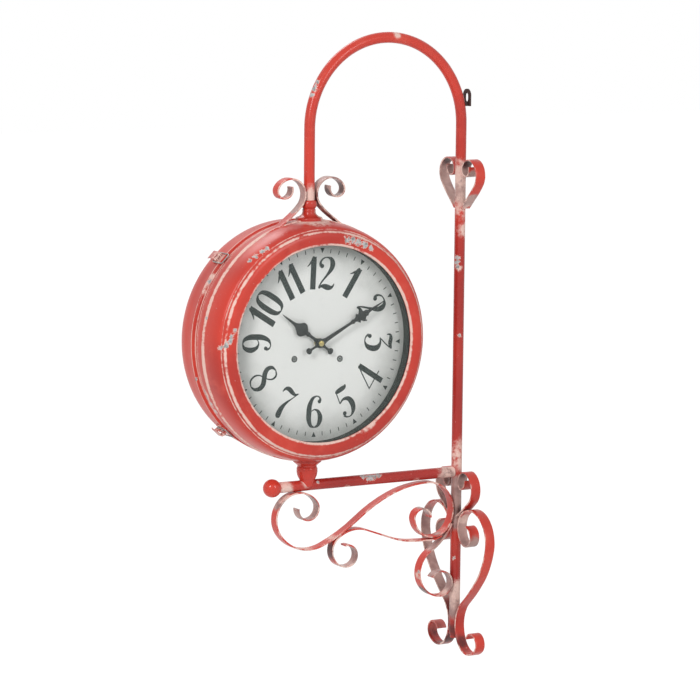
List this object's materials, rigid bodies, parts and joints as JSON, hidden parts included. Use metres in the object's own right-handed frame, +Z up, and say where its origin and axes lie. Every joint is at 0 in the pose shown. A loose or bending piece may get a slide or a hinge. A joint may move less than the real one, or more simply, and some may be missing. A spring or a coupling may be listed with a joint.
{
  "type": "double sided station clock",
  "caption": "round drum clock with a dial on each side, hung from a scrolled tube hanger for a wall; the rear half hinges open",
  "frame": {"origin": "middle of the hanging eye's back face, on the wall", "axes": "+X into the wall, +Z up, +Y from the front dial to the rear dial; the wall is the plane X = 0"},
  "size_m": [0.5266, 0.221, 1.1057],
  "materials": {
    "red_paint": "glossy coral red paint, worn at the edges",
    "worn_paint": "red paint rubbed to pink and cream",
    "dull_paint": "dull dusty red paint",
    "dark_iron": "dark brown iron",
    "steel": "plain steel",
    "brass": "satin",
    "dial_white": "matt off-white",
    "hand_black": "satin black",
    "clear_glass": "clear",
    "rubber": "matt black",
    "black_plastic": "moulded",
    "cell_wrap": "printed sleeve, plain"
  },
  "bodies": {
    "hanger_and_front_half": {"hanger_tube": "red_paint", "arm_tube": "red_paint", "arm_ball": "red_paint", "hanging_eye": "dark_iron", "arm_scroll": "dull_paint", "post_scroll": "dull_paint", "link_scroll": "dull_paint", "upper_heart_front": "dull_paint", "upper_heart_back": "dull_paint", "lower_heart_front": "dull_paint", "lower_heart_back": "dull_paint", "lyre_front": "dull_paint", "lyre_back": "dull_paint", "front_shell": "red_paint", "top_collar": "worn_paint", "bottom_finial": "red_paint", "hanging_bolt": "steel", "finial_bolt": "steel", "top_scroll_right": "dull_paint", "top_scroll_left": "dull_paint", "front_bezel": "red_paint", "front_gasket": "rubber", "front_glass": "clear_glass", "front_dial_spacer": "hand_black", "front_dial": "dial_white", "front_movement": "black_plastic", "front_movement_nut": "brass", "front_battery": "cell_wrap", "hinge_leaf_front": "red_paint", "hinge_pin": "steel", "upper_latch_catch": "worn_paint", "lower_latch_catch": "worn_paint"},
    "rear_half": {"rear_shell": "red_paint", "rear_bezel": "red_paint", "rear_gasket": "rubber", "rear_glass": "clear_glass", "rear_dial_spacer": "hand_black", "rear_dial": "dial_white", "rear_movement": "black_plastic", "rear_movement_nut": "brass", "rear_battery": "cell_wrap", "hinge_leaf_rear": "red_paint", "upper_latch_base": "worn_paint", "lower_latch_base": "worn_paint"},
    "front_minute_hand": {"front_minute_hand": "hand_black", "front_minute_arbor": "steel", "front_hand_nut": "brass"},
    "front_hour_hand": {"front_hour_hand": "hand_black", "front_hour_tube": "brass"},
    "front_setting_knob": {"front_setting_knob": "black_plastic"},
    "rear_minute_hand": {"rear_minute_hand": "hand_black", "rear_minute_arbor": "steel", "rear_hand_nut": "brass"},
    "rear_hour_hand": {"rear_hour_hand": "hand_black", "rear_hour_tube": "brass"},
    "rear_setting_knob": {"rear_setting_knob": "black_plastic"},
    "upper_latch_lever": {"upper_latch_lever": "worn_paint"},
    "upper_latch_loop": {"upper_latch_loop": "steel"},
    "lower_latch_lever": {"lower_latch_lever": "worn_paint"},
    "lower_latch_loop": {"lower_latch_loop": "steel"}
  },
  "joints": [
    {"name": "rear_half_hinge", "type": "hinge", "parent": "hanger_and_front_half", "child": "rear_half", "pos_m": [-0.1034, 0.027, -0.411], "axis": [0, 0, -1], "range_deg": [0, 90]},
    {"name": "front_minute", "type": "hinge", "parent": "hanger_and_front_half", "child": "front_minute_hand", "pos_m": [-0.3178, -0.045, -0.411], "axis": [0, 1, 0], "continuous": true},
    {"name": "front_hour", "type": "hinge", "parent": "hanger_and_front_half", "child": "front_hour_hand", "pos_m": [-0.3178, -0.0415, -0.411], "axis": [0, 1, 0], "continuous": true},
    {"name": "front_setting", "type": "hinge", "parent": "hanger_and_front_half", "child": "front_setting_knob", "pos_m": [-0.3178, -0.013, -0.395], "axis": [0, 1, 0], "continuous": true},
    {"name": "rear_minute", "type": "hinge", "parent": "rear_half", "child": "rear_minute_hand", "pos_m": [-0.3178, 0.081, -0.411], "axis": [0, -1, 0], "continuous": true},
    {"name": "rear_hour", "type": "hinge", "parent": "rear_half", "child": "rear_hour_hand", "pos_m": [-0.3178, 0.0775, -0.411], "axis": [0, -1, 0], "continuous": true},
    {"name": "rear_setting", "type": "hinge", "parent": "rear_half", "child": "rear_setting_knob", "pos_m": [-0.3178, 0.049, -0.395], "axis": [0, -1, 0], "continuous": true},
    {"name": "upper_latch", "type": "hinge", "parent": "rear_half", "child": "upper_latch_lever", "pos_m": [-0.4703, 0.046, -0.26373], "axis": [0.6947, 0, 0.7193], "range_deg": [0, 140]},
    {"name": "upper_latch_loop_pivot", "type": "hinge", "parent": "upper_latch_lever", "child": "upper_latch_loop", "pos_m": [-0.46958, 0.052, -0.26443], "axis": [0.6947, 0, 0.7193], "range_deg": [-140, 0]},
    {"name": "lower_latch", "type": "hinge", "parent": "rear_half", "child": "lower_latch_lever", "pos_m": [-0.46103, 0.046, -0.5673], "axis": [-0.7373, 0, 0.6756], "range_deg": [0, 140]},
    {"name": "lower_latch_loop_pivot", "type": "hinge", "parent": "lower_latch_lever", "child": "lower_latch_loop", "pos_m": [-0.46035, 0.052, -0.56656], "axis": [-0.7373, 0, 0.6756], "range_deg": [-140, 0]}
  ],
  "couplings": [
    {"joint": "front_hour", "follows": "front_minute", "ratio": 0.083333},
    {"joint": "front_setting", "follows": "front_minute", "ratio": -1},
    {"joint": "rear_hour", "follows": "rear_minute", "ratio": 0.083333},
    {"joint": "rear_setting", "follows": "rear_minute", "ratio": -1},
    {"joint": "upper_latch_loop_pivot", "follows": "upper_latch", "ratio": -1},
    {"joint": "lower_latch_loop_pivot", "follows": "lower_latch", "ratio": -1}
  ]
}
